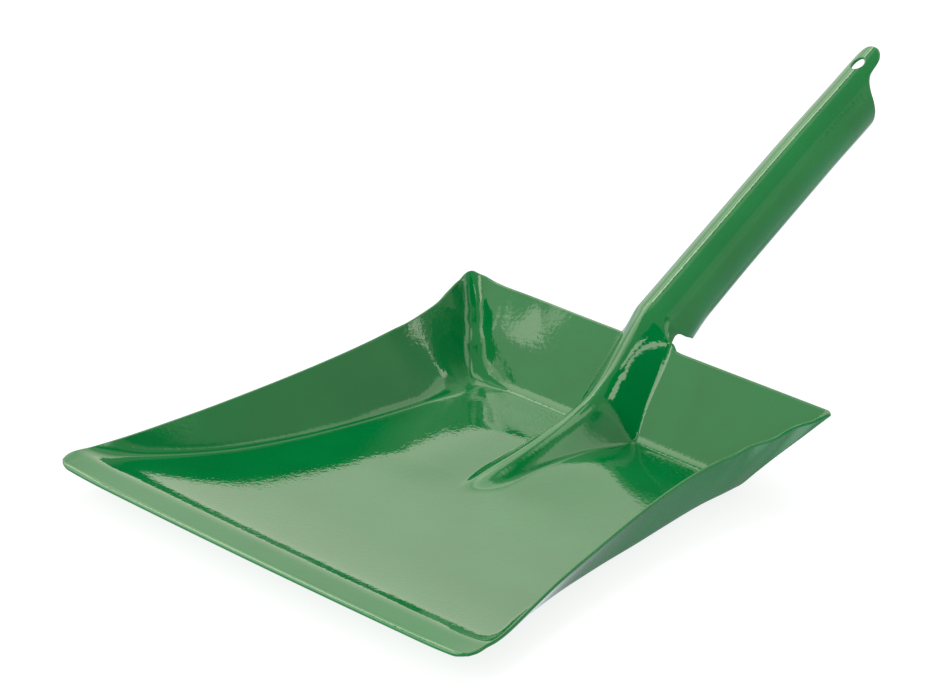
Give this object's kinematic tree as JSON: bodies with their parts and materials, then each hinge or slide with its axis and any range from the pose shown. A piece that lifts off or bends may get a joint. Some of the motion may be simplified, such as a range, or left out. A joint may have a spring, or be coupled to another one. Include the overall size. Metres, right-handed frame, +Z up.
{
  "type": "dustpan",
  "caption": "Pressed sheet-steel hand dustpan with flared side walls, a ribbed floor, a flat front lip and a rolled tube handle ending in a tab with a hanging hole.",
  "frame": {"origin": "centre of the bounding box in plan, on the plane the pan rests on", "axes": "+Y from the front lip towards the handle, +Z up, +X to the right when looking along +Y"},
  "size_m": [0.2216, 0.342, 0.1211],
  "materials": {
    "green_coat": "gloss green powder coat with slight orange peel"
  },
  "bodies": {
    "root": {"front_lip": "green_coat", "pan_floor": "green_coat", "side_wall_left": "green_coat", "side_wall_right": "green_coat", "back_wall_left": "green_coat", "back_wall_right": "green_coat", "rear_corner_left": "green_coat", "rear_corner_right": "green_coat", "floor_rib": "green_coat", "handle_neck": "green_coat", "handle_grip": "green_coat", "hanging_tab": "green_coat"}
  },
  "joints": []
}
